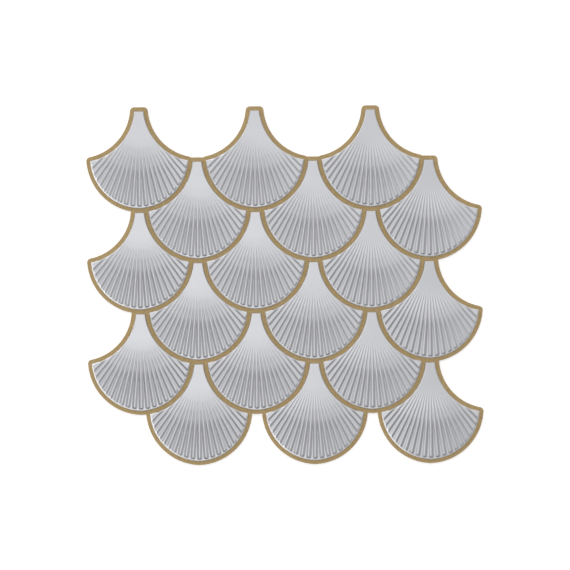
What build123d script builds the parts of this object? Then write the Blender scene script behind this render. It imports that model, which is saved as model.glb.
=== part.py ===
"""Self-adhesive mosaic sheet of fan-shaped scales with radiating reeds.

Separate scales are bonded in staggered rows on one die-cut backing sheet, whose gold face shows
as the joints between them and as a narrow border round the outside.
Millimetres, +Z up. The sheet lies face up, its adhesive back on Z = 0, the necks towards +Y.
"""

import os
from math import acos, atan2, cos, degrees, hypot, radians, sin, sqrt, tan

from build123d import *

# Staggered rows, counted from the neck end of the sheet
rows = 6
columns = 3
row_pitch = 38.5

# Outline of one scale: each half of its round lower edge is struck from a point a little across
# the axis, so the edge comes to a very blunt point; heights are taken from the level of those points
edge_radius = 38.95
edge_offset = 1.6
neck_width = 7.55
joint_width = 3.0
border_width = 3.0

# Thicknesses: the backing, then the scale up to the ground between its reeds
backing_thickness = 1.4
scale_thickness = 0.9
edge_draft = 8.0

# Fan of reeds, which run straight out from one centre in the neck
reed_count = 21
reed_pitch_angle = 4.5
reed_foot_width = 3.0
reed_top_width = 1.1
reed_height = 0.7
fan_centre_height = 28.9
rim_width = 1.6
side_clearance = 0.3

# The side of a scale follows the round edge of the scale above it, one joint away
hollow_radius = edge_radius + joint_width
scale_depth = sqrt(edge_radius**2 - edge_offset**2)
neck_height = 2 * row_pitch - scale_depth - joint_width
side_reach = neck_width / 2 + sqrt(hollow_radius**2 - (row_pitch - neck_height) ** 2)
side_centre = (side_reach, row_pitch)
column_pitch = 2 * (side_reach - edge_offset)

# Tip of the scale, where the round lower edge meets the hollow side
centre_distance = hypot(side_reach + edge_offset, row_pitch)
tip_opening = acos(
    (centre_distance**2 + edge_radius**2 - hollow_radius**2) / (2 * centre_distance * edge_radius)
)
tip_angle = atan2(row_pitch, side_reach + edge_offset) - tip_opening
tip = (edge_radius * cos(tip_angle) - edge_offset, edge_radius * sin(tip_angle))
foot_angle = -acos(edge_offset / edge_radius)
side_start = degrees(atan2(tip[1] - row_pitch, tip[0] - side_reach)) % 360
side_end = degrees(atan2(neck_height - row_pitch, neck_width / 2 - side_reach)) % 360

# Levels
scale_seat = backing_thickness
ground = scale_seat + scale_thickness

# Nearer to the fan centre than the merging radius the flat tops of the reeds have run together
merging_radius = reed_top_width / (2 * tan(radians(reed_pitch_angle / 2)))
plateau_radius = 0.97 * merging_radius
reed_start = 0.7 * merging_radius
reed_taper = degrees(atan2((reed_foot_width - reed_top_width) / 2, reed_height))
reed_end_radius = edge_radius - rim_width
draft_inset = scale_thickness * tan(radians(edge_draft))
clear_radius = hollow_radius + draft_inset + side_clearance + reed_foot_width / 2

# Where the scales sit, with the middle of the sheet on the Z axis
first_row_y = ((rows - 1) * row_pitch + scale_depth - neck_height) / 2


def scale_place(row, column):
    """Where the middle of a scale sits, rows and columns counted from 1 at the top left."""
    stagger = column_pitch / 4 if row % 2 == 0 else -column_pitch / 4
    x = (column - (columns + 1) / 2) * column_pitch + stagger
    return (x, first_row_y - (row - 1) * row_pitch)


row_places = {
    row: [scale_place(row, column) for column in range(1, columns + 1)]
    for row in range(1, rows + 1)
}


def reed_angle(number):
    """Direction of a reed from the fan centre, in degrees from the axis of the scale."""
    return reed_pitch_angle * (number - (reed_count - 1) / 2)


def reed_begin(number):
    """Distance from the fan centre to the upper end of a reed.

    A reed rises out of the plateau, or, near a tip, where it comes clear of the hollow side.
    """
    angle = radians(abs(reed_angle(number)))
    rise = row_pitch - fan_centre_height
    across = side_reach * cos(angle) + rise * sin(angle)
    along = side_reach * sin(angle) - rise * cos(angle)
    if across >= clear_radius:
        return reed_start
    return max(reed_start, along + sqrt(clear_radius**2 - across**2))


def reed_end(number):
    """Distance from the fan centre, along a reed, to the inside of the rim."""
    angle = radians(abs(reed_angle(number)))
    across = fan_centre_height * sin(angle) + edge_offset * cos(angle)
    along = fan_centre_height * cos(angle) - edge_offset * sin(angle)
    return along + sqrt(reed_end_radius**2 - across**2)


# Reeds with room for more than their own width; the last ones at the tips have none
reeds = [
    number
    for number in range(reed_count)
    if reed_end(number) - reed_begin(number) > reed_foot_width
]

os.makedirs("parts", exist_ok=True)

# Outline of a scale: round below, hollow at both sides, with a short straight neck end
with BuildSketch() as outline:
    with BuildLine():
        CenterArc((-edge_offset, 0), edge_radius, degrees(foot_angle), degrees(tip_angle - foot_angle))
        side = CenterArc(side_centre, hollow_radius, side_start, side_end - side_start)
        Line(side @ 1, (0, neck_height))
        mirror(about=Plane.YZ)
    make_face()

# Relief of a scale: the smooth plateau of the neck inside the drafted edge, and the reeds that
# run out of it, bars with sloping flanks and ends that stop short of the round edge
with BuildPart() as relief:
    with BuildSketch(Plane.XY.offset(ground)):
        with Locations((0, fan_centre_height)):
            Circle(plateau_radius + reed_height * tan(radians(reed_taper)))
    extrude(amount=reed_height, taper=reed_taper)
    with BuildSketch(Plane.XY.offset(scale_seat)):
        add(outline.sketch)
    extrude(amount=scale_thickness + reed_height, taper=edge_draft, mode=Mode.INTERSECT)
    for number in reeds:
        with BuildSketch(Plane.XY.offset(ground)):
            with Locations(Location((0, fan_centre_height), reed_angle(number))):
                with Locations((0, -reed_begin(number))):
                    reed_length = reed_end(number) - reed_begin(number)
                    Rectangle(reed_foot_width, reed_length, align=(Align.CENTER, Align.MAX))
        extrude(amount=reed_height, taper=reed_taper)

# One scale: a plate with a drafted edge and the relief on top
with BuildPart() as scale:
    with BuildSketch(Plane.XY.offset(scale_seat)):
        add(outline.sketch)
    extrude(amount=scale_thickness, taper=edge_draft)
    add(relief.part)

# Eighteen like scales in staggered rows, the separate solids of a row under one name
for row, places in row_places.items():
    with BuildPart() as scallop_row:
        with Locations(*places):
            add(scale.part)
    scallop_row.part.label = f"scallop_row{row}"
    export_step(scallop_row.part, f"parts/{scallop_row.part.label}.step")

# Backing sheet: the outlines of all the scales grown by the border and run together
with BuildPart() as backing_sheet:
    with BuildSketch(Plane.XY) as backing_outline:
        for places in row_places.values():
            with Locations(*places):
                add(offset(outline.sketch, border_width, kind=Kind.ARC, mode=Mode.PRIVATE))
    extrude(amount=backing_thickness)
backing_sheet.part.label = "backing_sheet"
export_step(backing_sheet.part, "parts/backing_sheet.step")
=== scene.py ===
from math import acos, atan2, cos, hypot, pi, radians, sin, sqrt, tan

import bpy
import numpy as np
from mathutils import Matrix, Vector
from mathutils.geometry import delaunay_2d_cdt


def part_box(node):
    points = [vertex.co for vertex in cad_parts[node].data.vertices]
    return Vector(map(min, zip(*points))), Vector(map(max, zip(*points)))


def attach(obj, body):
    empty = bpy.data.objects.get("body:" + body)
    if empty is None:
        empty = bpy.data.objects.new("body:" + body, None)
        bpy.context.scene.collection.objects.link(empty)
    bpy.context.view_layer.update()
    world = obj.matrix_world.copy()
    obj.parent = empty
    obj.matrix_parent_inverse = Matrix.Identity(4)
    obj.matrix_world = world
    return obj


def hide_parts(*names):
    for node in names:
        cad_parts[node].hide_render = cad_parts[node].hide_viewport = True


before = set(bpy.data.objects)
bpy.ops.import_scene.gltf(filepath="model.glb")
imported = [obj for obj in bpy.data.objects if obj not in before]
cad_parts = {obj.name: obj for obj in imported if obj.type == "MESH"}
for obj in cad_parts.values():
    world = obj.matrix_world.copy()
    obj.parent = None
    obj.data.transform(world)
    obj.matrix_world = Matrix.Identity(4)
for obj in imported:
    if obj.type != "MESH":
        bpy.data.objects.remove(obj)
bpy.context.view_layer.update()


# Backing sheet
# One thin die-cut vinyl sheet with a matte gold print on its face. It carries all the scales, shows
# as the lines between them and as the border, and its off-white adhesive back goes on the wall.
mm = 0.001
gold_dark = (0.405, 0.287, 0.129, 1.0)
gold_light = (0.545, 0.394, 0.183, 1.0)
gold_ramp = (0.36, 0.64)
gold_metallic = 0.25
gold_roughness = (0.46, 0.60)
gold_grain = {"Speckle Scale": 1100.0, "Cloud Scale": 60.0}
gold_tooth = {"Strength": 0.15, "Distance": 0.05 * mm}
back_off_white = (0.74, 0.73, 0.70, 1.0)
back_facing = -0.5


def new_material(name):
    """A node material with one shader on its output, and the nodes and links to build on."""
    material = bpy.data.materials.new(name)
    material.use_nodes = True
    nodes, links = material.node_tree.nodes, material.node_tree.links
    nodes.clear()
    output = nodes.new("ShaderNodeOutputMaterial")
    shader = nodes.new("ShaderNodeBsdfPrincipled")
    links.new(shader.outputs["BSDF"], output.inputs["Surface"])
    return material, nodes, links, shader


def add_node(nodes, kind, values):
    """A node with the given values set on its inputs."""
    node = nodes.new(kind)
    for socket, value in values.items():
        node.inputs[socket].default_value = value
    return node


# Fine grain that both finishes share: a close speckle and a slow cloudiness, each from 0 to 1.
grain = bpy.data.node_groups.new("metallic_grain", "ShaderNodeTree")
grain_detail = {"Speckle": 3.0, "Cloud": 2.0}
grain_roughness = 0.6
grain_in = grain.nodes.new("NodeGroupInput")
grain_out = grain.nodes.new("NodeGroupOutput")
grain_place = grain.nodes.new("ShaderNodeNewGeometry")
for socket, detail in grain_detail.items():
    grain.interface.new_socket(f"{socket} Scale", in_out="INPUT", socket_type="NodeSocketFloat")
    grain.interface.new_socket(socket, in_out="OUTPUT", socket_type="NodeSocketFloat")
    texture = {"Detail": detail, "Roughness": grain_roughness}
    noise = add_node(grain.nodes, "ShaderNodeTexNoise", texture)
    grain.links.new(grain_place.outputs["Position"], noise.inputs["Vector"])
    grain.links.new(grain_in.outputs[f"{socket} Scale"], noise.inputs["Scale"])
    grain.links.new(noise.outputs["Fac"], grain_out.inputs[socket])


def add_grain(nodes, links, shader, scales, ramp, tints, roughness, tooth):
    """The grain's effect on roughness and on the fine tooth of a surface; returns its tinted colour."""
    speck = nodes.new("ShaderNodeGroup")
    speck.node_tree = grain
    for socket, scale in scales.items():
        speck.inputs[socket].default_value = scale
    tint = nodes.new("ShaderNodeValToRGB")
    for element, position, colour in zip(tint.color_ramp.elements, ramp, tints):
        element.position = position
        element.color = colour
    links.new(speck.outputs["Speckle"], tint.inputs["Fac"])
    spread = add_node(nodes, "ShaderNodeMapRange", {"To Min": roughness[0], "To Max": roughness[1]})
    links.new(speck.outputs["Cloud"], spread.inputs["Value"])
    links.new(spread.outputs["Result"], shader.inputs["Roughness"])
    bump = add_node(nodes, "ShaderNodeBump", tooth)
    links.new(speck.outputs["Speckle"], bump.inputs["Height"])
    links.new(bump.outputs["Normal"], shader.inputs["Normal"])
    return tint.outputs["Color"]


gold_print, nodes, links, shader = new_material("gold_print")
gold_tint = add_grain(
    nodes, links, shader, gold_grain, gold_ramp, (gold_dark, gold_light), gold_roughness, gold_tooth
)

# The print is on the face and the cut edge; what looks down is the adhesive side.
facing = nodes.new("ShaderNodeNewGeometry")
facing_axes = nodes.new("ShaderNodeSeparateXYZ")
links.new(facing.outputs["True Normal"], facing_axes.inputs["Vector"])
printed = add_node(nodes, "ShaderNodeMath", {1: back_facing})
printed.operation = "GREATER_THAN"
links.new(facing_axes.outputs["Z"], printed.inputs[0])
sheen = add_node(nodes, "ShaderNodeMath", {1: gold_metallic})
sheen.operation = "MULTIPLY"
links.new(printed.outputs["Value"], sheen.inputs[0])
links.new(sheen.outputs["Value"], shader.inputs["Metallic"])
sided = add_node(nodes, "ShaderNodeMixRGB", {"Color1": back_off_white})
links.new(printed.outputs["Value"], sided.inputs["Fac"])
links.new(gold_tint, sided.inputs["Color2"])
links.new(sided.outputs["Color"], shader.inputs["Base Color"])

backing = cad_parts["backing_sheet"]
backing.data.materials.clear()
backing.data.materials.append(gold_print)


# Scales
# Eighteen like pieces pressed from a thin satin silver skin over a moulded core, bonded to the
# backing. Rounded reeds fan out from a smooth neck and stop short of the round edge.
rows, columns = 6, 3
row_pitch = 38.5
edge_radius = 38.95
edge_offset = 1.6
neck_width = 7.55
joint_width = 3.0
hollow_radius = edge_radius + joint_width
scale_depth = sqrt(edge_radius**2 - edge_offset**2)
neck_height = 2 * row_pitch - scale_depth - joint_width
side_reach = neck_width / 2 + sqrt(hollow_radius**2 - (row_pitch - neck_height) ** 2)
side_centre = np.array((side_reach, row_pitch))
column_pitch = 2 * (side_reach - edge_offset)

# Heights: where the scale sits, the ground between the reeds, the neck and the reeds above it.
# The edge is bevelled, given as inset and height; the neck and the reeds ease in from the sides.
seat, ground = 1.4, 2.3
neck_rise, reed_rise = 0.7, 0.66
edge_profile = [
    (0.0, 0.0), (0.03, 0.40), (0.07, 0.54), (0.17, 0.63), (0.30, 0.745),
    (0.42, 0.85), (0.455, 0.876), (0.49, 0.891), (0.56, 0.9),
]
neck_edge = (0.0, 0.80)
reed_edge = (0.10, 0.90)

# Reeds: one pitch angle and a half width that grows a little outward, with flat flanks, a rounded
# ridge and an eased foot. They deepen slowly out of the neck and end in round noses at a rim,
# whose width and whose noses are given at the bottom and at the tips.
fan_centre = np.array((0.0, 28.9))
reed_pitch = radians(4.5)
outer_reed = 10
reed_half = ((46.0, 58.0), (2.0, 2.3))
ridge_round, valley_round = 0.26, 0.18
section_steps = 201
reed_fade, fade_power = (8.0, 53.0), 1.8
rim_width = (1.0, 0.55)
nose_length = (1.4, 0.6)

# Spacing of the mesh: points along the reeds, lines beside each ridge, rings inside the rim.
mesh_step = 0.9
reed_reach = (9.0, 68.0)
ridge_lines = (0.0, 0.15, 0.3, 0.5, 0.8, 1.1, 1.4, 1.65, 1.85, 2.0)
rim_rings = (0.15, 0.35, 0.55, 0.8, 1.1, 1.45, 1.85)
neck_across, neck_along, neck_radius = (-14.0, 14.1), (14.0, 37.0), 8.5
ring_clearance, line_clearance = 0.1, 0.05
longest_edge, weld_distance = 1.5, 1e-4
inside_only = 1
arc_points, side_points, neck_points = 111, 106, 15
crease = radians(40)


def outline(inset):
    """Points round the edge of a scale, drawn in by an inset, anticlockwise from the left tip."""
    low, side, top = edge_radius - inset, hollow_radius + inset, neck_height - inset
    reach = hypot(side_reach + edge_offset, row_pitch)
    opening = acos((reach**2 + low**2 - side**2) / (2 * reach * low))
    tip = atan2(row_pitch, side_reach + edge_offset) - opening
    turn = np.linspace(-acos(edge_offset / low), tip, arc_points)
    lower = np.column_stack((low * np.cos(turn) - edge_offset, low * np.sin(turn)))
    corner_x = side_reach - sqrt(side**2 - (top - row_pitch) ** 2)
    start = atan2(lower[-1, 1] - row_pitch, lower[-1, 0] - side_reach) % (2 * pi)
    end = atan2(top - row_pitch, corner_x - side_reach) % (2 * pi)
    turn = np.linspace(start, end, side_points)[1:]
    right = side_centre + side * np.column_stack((np.cos(turn), np.sin(turn)))
    flat = np.linspace(corner_x, -corner_x, neck_points)[1:-1]
    neck_end = np.column_stack((flat, np.full(len(flat), top)))
    return np.vstack((lower[:0:-1] * (-1, 1), lower, right, neck_end, right[::-1] * (-1, 1)))


def edge_distance(points):
    """How far points lie inside the hollow sides and neck end, and inside the whole outline."""
    mirrored = np.abs(points[:, 0])
    hollow = np.hypot(mirrored - side_reach, points[:, 1] - row_pitch) - hollow_radius
    side = np.minimum(hollow, neck_height - points[:, 1])
    return side, np.minimum(side, edge_radius - np.hypot(mirrored + edge_offset, points[:, 1]))


def ease(low, high, value):
    """A smooth step from 0 to 1."""
    t = np.clip((value - low) / (high - low), 0, 1)
    return t * t * (3 - 2 * t)


def reed_section(away):
    """Height of a reed, from 1 on its ridge to 0 at its foot."""
    steps = np.linspace(0, 1, section_steps)
    slope = ease(0, ridge_round, steps) * ease(0, valley_round, 1 - steps)
    fall = np.concatenate(([0], np.cumsum((slope[1:] + slope[:-1]) / 2)))
    return 1 - np.interp(away, steps, fall / fall[-1])


def relief_height(points):
    """Height of the reeds and the neck plateau above the ground."""
    offset = points - fan_centre
    distance = np.hypot(*offset.T)
    angle = np.arctan2(offset[:, 0], -offset[:, 1])
    number = np.clip(np.round(angle / reed_pitch), -outer_reed, outer_reed)
    across = distance * np.sin(angle - number * reed_pitch)
    to_tip = np.clip(np.abs(angle) / (outer_reed * reed_pitch), 0, 1)
    rim, nose = np.interp(to_tip, (0, 1), rim_width), np.interp(to_tip, (0, 1), nose_length)
    to_rim = edge_radius - rim - np.hypot(np.abs(points[:, 0]) + edge_offset, points[:, 1])
    away = np.hypot(across / np.interp(distance, *reed_half), np.clip(1 - to_rim / nose, 0, 1))
    side, _ = edge_distance(points)
    neck = neck_rise * ease(*neck_edge, side)
    reed = reed_rise * reed_section(away) * ease(*reed_edge, side)
    plateau = (1 - np.interp(distance, reed_fade, (0, 1))) ** fade_power
    return plateau * neck + (1 - plateau) * reed


def reed_lines():
    """Strings of points along the ridge, the flanks and the foot of each reed, for edges to follow."""
    strings = []
    along = np.arange(*reed_reach, mesh_step)
    for number in range(-outer_reed, outer_reed + 1):
        turn = number * reed_pitch
        out, across = np.array((sin(turn), -cos(turn))), np.array((cos(turn), sin(turn)))
        for away in ridge_lines:
            run = along[away < along * tan(reed_pitch / 2) - line_clearance]
            strings += [fan_centre + np.outer(run, out) + side * across for side in {away, -away}]
        turn += reed_pitch / 2
        strings.append(fan_centre + np.outer(along, (sin(turn), -cos(turn))))
    return strings


def scale_mesh():
    """A closed mesh of one scale, in metres, with the centre of its round edge at the origin."""
    rings = [outline(inset) for inset, _ in edge_profile]
    count = len(rings[0])
    points = list(rings[-1])
    edges = [(i, (i + 1) % count) for i in range(count)]
    inner = edge_profile[-1][0]
    grid = np.meshgrid(np.arange(*neck_across, mesh_step), np.arange(*neck_along, mesh_step))
    neck = np.stack(grid, -1).reshape(-1, 2)
    neck = neck[np.hypot(*(neck - fan_centre).T) < neck_radius]
    rim = [outline(inner + step) for step in rim_rings]
    for string in [*rim, *reed_lines(), *neck[:, None]]:
        _, depth = edge_distance(string)
        keep = depth > inner + ring_clearance
        last = None
        for point, kept in zip(string, keep):
            if not kept:
                last = None
                continue
            points.append(point)
            if last is not None and hypot(*(points[last] - point)) < longest_edge:
                edges.append((last, len(points) - 1))
            last = len(points) - 1
    flat = [Vector(point) for point in points]
    flat, _, triangles, *_ = delaunay_2d_cdt(flat, edges, [list(range(count))], inside_only, weld_distance)
    flat = np.array([tuple(v) for v in flat])
    levels = [seat + height + relief_height(ring) for ring, (_, height) in zip(rings, edge_profile)]
    levels[-1] = ground + relief_height(flat)
    plan = np.vstack([*rings[:-1], flat])
    solid = np.column_stack((plan, np.concatenate(levels))) * mm
    top = count * (len(rings) - 1)
    faces = [tuple(range(count - 1, -1, -1))]
    for ring in range(len(rings) - 1):
        for i in range(count):
            a, b = ring * count + i, ring * count + (i + 1) % count
            faces.append((a, b, b + count, a + count))
    faces += [tuple(top + i for i in triangle) for triangle in triangles]
    mesh = bpy.data.meshes.new("scale")
    mesh.from_pydata(solid.tolist(), [], faces)
    mesh.polygons.foreach_set("use_smooth", [True] * len(faces))
    mesh.set_sharp_from_angle(angle=crease)
    mesh.validate()
    return mesh


silver_dark = (0.622, 0.627, 0.652, 1.0)
silver_light = (0.675, 0.680, 0.707, 1.0)
silver_ramp = (0.30, 0.70)
silver_metallic = 0.9
silver_roughness = (0.27, 0.33)
silver_grain = {"Speckle Scale": 3200.0, "Cloud Scale": 40.0}
silver_tooth = {"Strength": 0.10, "Distance": 0.03 * mm}
satin_silver, nodes, links, shader = new_material("satin_silver")
shader.inputs["Metallic"].default_value = silver_metallic
silver_tints = (silver_dark, silver_light)
silver_tint = add_grain(
    nodes, links, shader, silver_grain, silver_ramp, silver_tints, silver_roughness, silver_tooth
)
links.new(silver_tint, shader.inputs["Base Color"])

mesh = scale_mesh()
mesh.materials.append(satin_silver)
for row in range(1, rows + 1):
    node = f"scallop_row{row}"
    low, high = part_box(node)
    for column in range(1, columns + 1):
        across = (column - (columns + 1) / 2) * column_pitch * mm
        piece = bpy.data.objects.new(f"scale_row{row}_col{column}", mesh)
        piece.location = ((low.x + high.x) / 2 + across, high.y - neck_height * mm, 0)
        bpy.context.scene.collection.objects.link(piece)
        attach(piece, "root")
        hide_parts(node)


# Floor and light
# A plain white table under the sheet, in a light tent that is bright overhead and at the neck end
# of the sheet and darker at the other end. A soft box hangs above, a little to the left.
floor_half = 3.0
floor_drop = 0.02 * mm
floor_grey = (0.80, 0.80, 0.80, 1.0)
floor_roughness, floor_specular = 0.9, 0.1
plain_white = (1.0, 1.0, 1.0, 1.0)
floor_lift = 0.50
floor_mesh = bpy.data.meshes.new("floor")
corners = [(-1, -1), (1, -1), (1, 1), (-1, 1)]
floor_mesh.from_pydata([(x * floor_half, y * floor_half, 0) for x, y in corners], [], [(0, 1, 2, 3)])
floor = bpy.data.objects.new("floor", floor_mesh)
floor.location.z = -floor_drop
bpy.context.scene.collection.objects.link(floor)
floor_white, nodes, links, shader = new_material("floor_white")
shader.inputs["Base Color"].default_value = floor_grey
shader.inputs["Roughness"].default_value = floor_roughness
shader.inputs["Specular IOR Level"].default_value = floor_specular
shader.inputs["Emission Color"].default_value = plain_white


def joined(operation, first, second):
    """Two values of the tree in hand, put together by one operation."""
    node = nodes.new("ShaderNodeMath")
    node.operation = operation
    links.new(first, node.inputs[0])
    links.new(second, node.inputs[1])
    return node.outputs["Value"]


# The lift makes the floor white to the camera and in reflections, and lights no matte surface.
path = nodes.new("ShaderNodeLightPath")
seen = joined("MAXIMUM", path.outputs["Is Camera Ray"], path.outputs["Is Glossy Ray"])
seen = joined("MAXIMUM", seen, path.outputs["Is Transmission Ray"])
lift = nodes.new("ShaderNodeValue")
lift.outputs["Value"].default_value = floor_lift
links.new(joined("MULTIPLY", seen, lift.outputs["Value"]), shader.inputs["Emission Strength"])
floor_mesh.materials.append(floor_white)

world = bpy.data.worlds.new("light_tent")
bpy.context.scene.world = world
world.use_nodes = True
nodes, links = world.node_tree.nodes, world.node_tree.links
nodes.clear()
output = nodes.new("ShaderNodeOutputWorld")
sky = add_node(nodes, "ShaderNodeBackground", {"Color": plain_white})
links.new(sky.outputs["Background"], output.inputs["Surface"])
place = nodes.new("ShaderNodeTexCoord")
axes = nodes.new("ShaderNodeSeparateXYZ")
links.new(place.outputs["Generated"], axes.inputs["Vector"])


def panel(axis, reach, strength):
    """A soft-edged panel of the tent: its strength between two levels along one axis."""
    levels = {"From Min": reach[0], "From Max": reach[1], "To Min": strength[0], "To Max": strength[1]}
    ramp = add_node(nodes, "ShaderNodeMapRange", levels)
    ramp.interpolation_type = "SMOOTHSTEP"
    links.new(axes.outputs[axis], ramp.inputs["Value"])
    return ramp.outputs["Result"]


overhead = panel("Z", (0.50, 0.99), (0.064, 0.672))
neck_end = panel("Y", (-0.05, 0.78), (0.0, 0.88))
right_side = panel("X", (0.15, 0.80), (0.0, 0.096))

# A low ring of light, strongest at the left, draws out the flanks of the reeds.
low_ring = panel("Z", (0.42, 0.15), (0.0, 1.0))
left_share = panel("X", (-0.05, -0.75), (0.52, 3.36))
low_strip = joined("MULTIPLY", low_ring, left_share)
tent = joined("ADD", joined("ADD", overhead, neck_end), joined("ADD", right_side, low_strip))

# The camera itself sees plain white where the floor ends.
seen_strength = 1.0
path = nodes.new("ShaderNodeLightPath")
white = add_node(nodes, "ShaderNodeMix", {"B": seen_strength})
white.data_type = "FLOAT"
links.new(path.outputs["Is Camera Ray"], white.inputs["Factor"])
links.new(tent, white.inputs["A"])
links.new(white.outputs["Result"], sky.inputs["Strength"])

soft_box = bpy.data.lights.new("soft_box", "AREA")
soft_box.shape = "SQUARE"
soft_box.size = 0.70
soft_box_radiance = 0.54
soft_box.energy = soft_box_radiance * pi * soft_box.size**2
lamp = bpy.data.objects.new("soft_box", soft_box)
lamp.location = (-0.25, -0.13, 1.1)
lamp.visible_camera = False
bpy.context.scene.collection.objects.link(lamp)


# Camera
# Straight above the sheet, a touch turned, with a long lens. The view's width is taken at the level
# of the scales.
view_width = 433.1 * mm
view_level = 2.6 * mm
view_centre = (0.04 * mm, 0.16 * mm)
view_turn = radians(-0.48)
lens = bpy.data.cameras.new("camera")
lens.sensor_width = 36.0
lens.lens = 150.0
camera = bpy.data.objects.new("camera", lens)
camera.location = (*view_centre, view_level + view_width * lens.lens / lens.sensor_width)
camera.rotation_euler = (0, 0, view_turn)
bpy.context.scene.collection.objects.link(camera)
bpy.context.scene.camera = camera
bpy.context.scene.view_settings.view_transform = "Standard"
